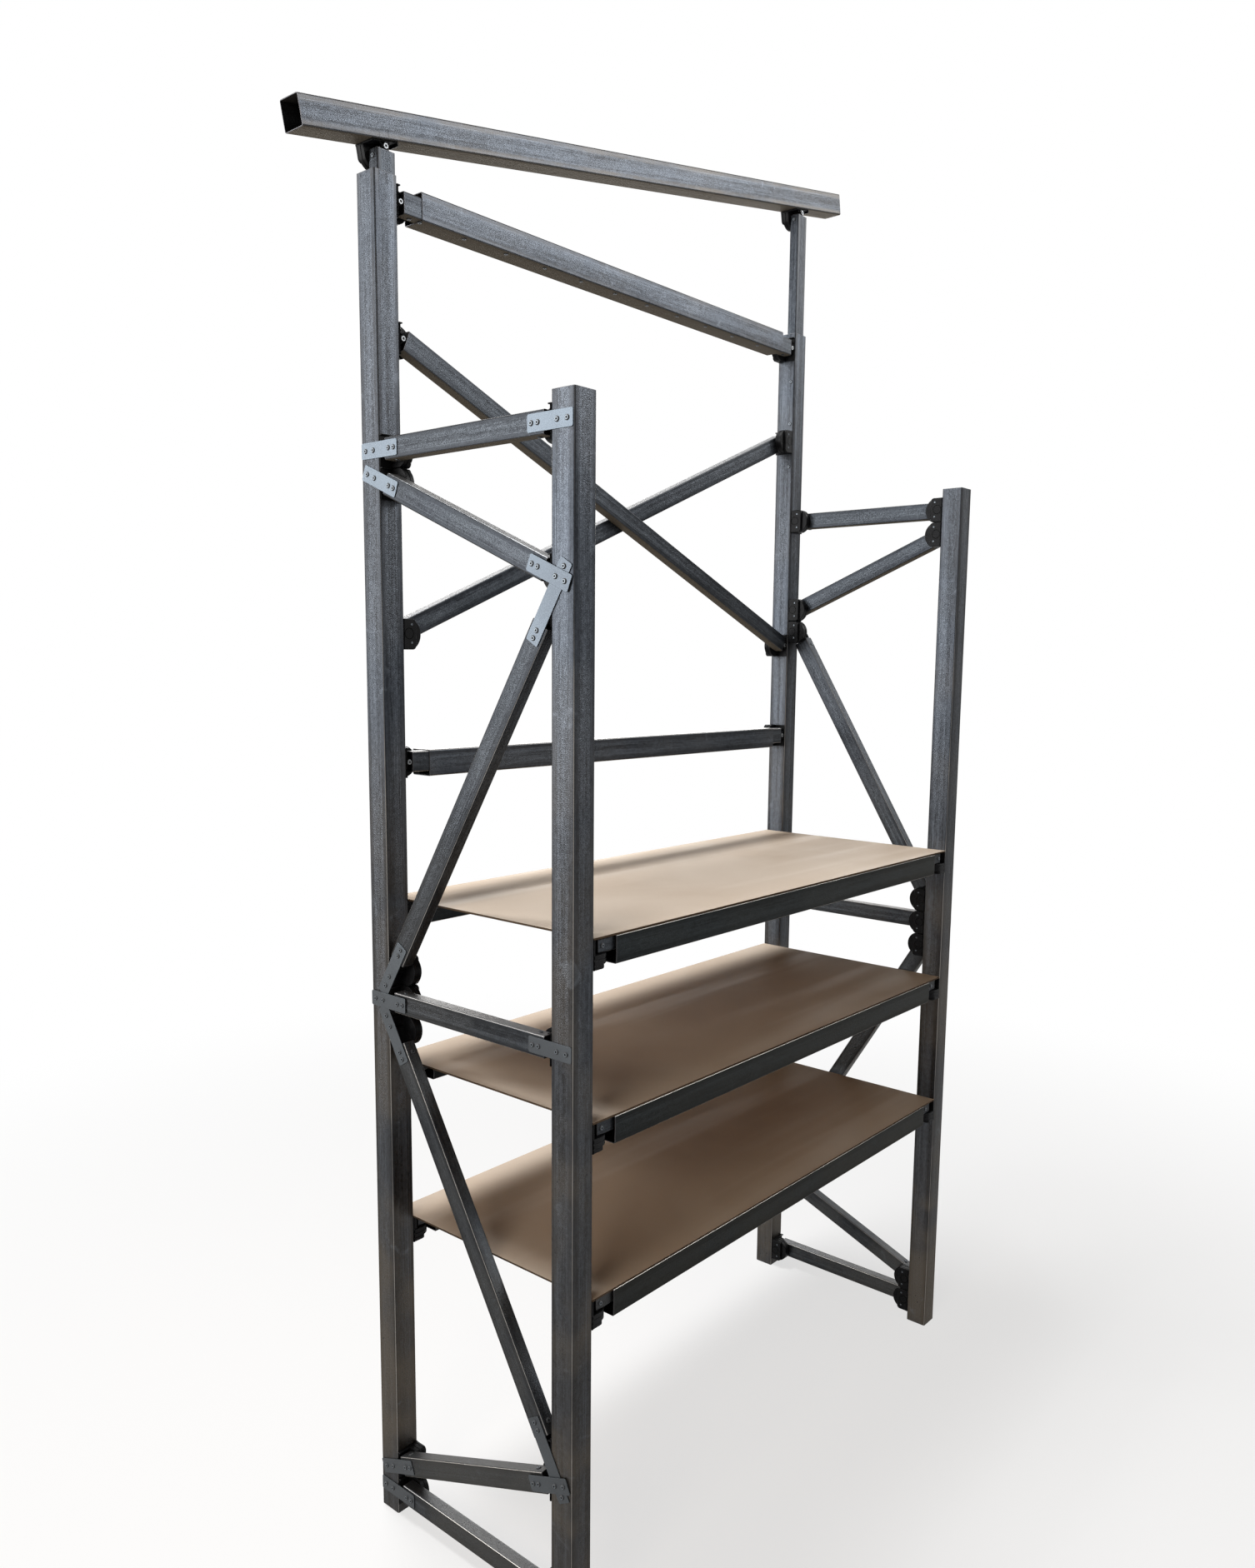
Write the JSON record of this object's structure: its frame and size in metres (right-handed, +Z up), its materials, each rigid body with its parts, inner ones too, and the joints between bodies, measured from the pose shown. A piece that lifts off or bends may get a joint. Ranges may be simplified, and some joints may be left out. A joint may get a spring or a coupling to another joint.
{
  "type": "shelving unit",
  "caption": "Tall open shelving unit of square steel tube with hinge connectors, loose boards, a braced back and a tilted top beam on telescoping masts.",
  "frame": {"origin": "middle of the overall width and depth, on the floor", "axes": "+X to the right seen from the front, +Y to the rear, +Z up"},
  "size_m": [1.4866, 0.466, 2.5911],
  "materials": {
    "tube_steel": "galvanised, spangled, slightly worn",
    "bar_steel": "galvanised, spangled, slightly worn",
    "plate_steel": "bright galvanised",
    "connector_plastic": "moulded, satin",
    "hardboard": "smooth hardboard, satin"
  },
  "bodies": {
    "frame": {"post_front_left": "tube_steel", "post_front_right": "tube_steel", "post_rear_left": "tube_steel", "post_rear_right": "tube_steel", "left_bar_1": "bar_steel", "left_bar_2": "bar_steel", "left_bar_3": "bar_steel", "left_bar_4": "bar_steel", "left_bar_5": "bar_steel", "left_bar_6": "bar_steel", "left_bar_7": "bar_steel", "left_brackets": "connector_plastic", "left_tongues": "connector_plastic", "left_plates": "plate_steel", "right_bar_1": "bar_steel", "right_bar_2": "bar_steel", "right_bar_3": "bar_steel", "right_bar_4": "bar_steel", "right_bar_5": "bar_steel", "right_bar_6": "bar_steel", "right_bar_7": "bar_steel", "right_brackets": "connector_plastic", "right_tongues": "connector_plastic", "right_plates": "plate_steel", "back_brace_falling": "bar_steel", "back_brace_rising": "bar_steel", "back_rail_top_outer": "tube_steel", "back_rail_top_inners": "bar_steel", "back_rail_middle_outer": "tube_steel", "back_rail_middle_inners": "bar_steel", "back_brackets": "connector_plastic", "back_tongues": "connector_plastic", "shelf_1_front_rail": "tube_steel", "shelf_1_rear_rail": "tube_steel", "shelf_1_rail_inners": "bar_steel", "shelf_2_front_rail": "tube_steel", "shelf_2_rear_rail": "tube_steel", "shelf_2_rail_inners": "bar_steel", "shelf_3_front_rail": "tube_steel", "shelf_3_rear_rail": "tube_steel", "shelf_3_rail_inners": "bar_steel", "shelf_brackets": "connector_plastic", "shelf_tongues": "connector_plastic"},
    "canopy": {"mast_left": "bar_steel", "mast_right": "bar_steel", "top_beam": "tube_steel", "beam_brackets": "connector_plastic", "beam_tongues": "connector_plastic"},
    "board_1": {"board_1": "hardboard"},
    "board_2": {"board_2": "hardboard"},
    "board_3": {"board_3": "hardboard"}
  },
  "joints": [
    {"name": "canopy_lift", "type": "slide", "parent": "frame", "child": "canopy", "axis": [0, 0, 1], "range_m": [0, 0.28]},
    {"name": "board_1_draw", "type": "slide", "parent": "frame", "child": "board_1", "axis": [0, -1, 0], "range_m": [0, 0.44]},
    {"name": "board_2_draw", "type": "slide", "parent": "frame", "child": "board_2", "axis": [0, -1, 0], "range_m": [0, 0.44]},
    {"name": "board_3_draw", "type": "slide", "parent": "frame", "child": "board_3", "axis": [0, -1, 0], "range_m": [0, 0.44]}
  ]
}
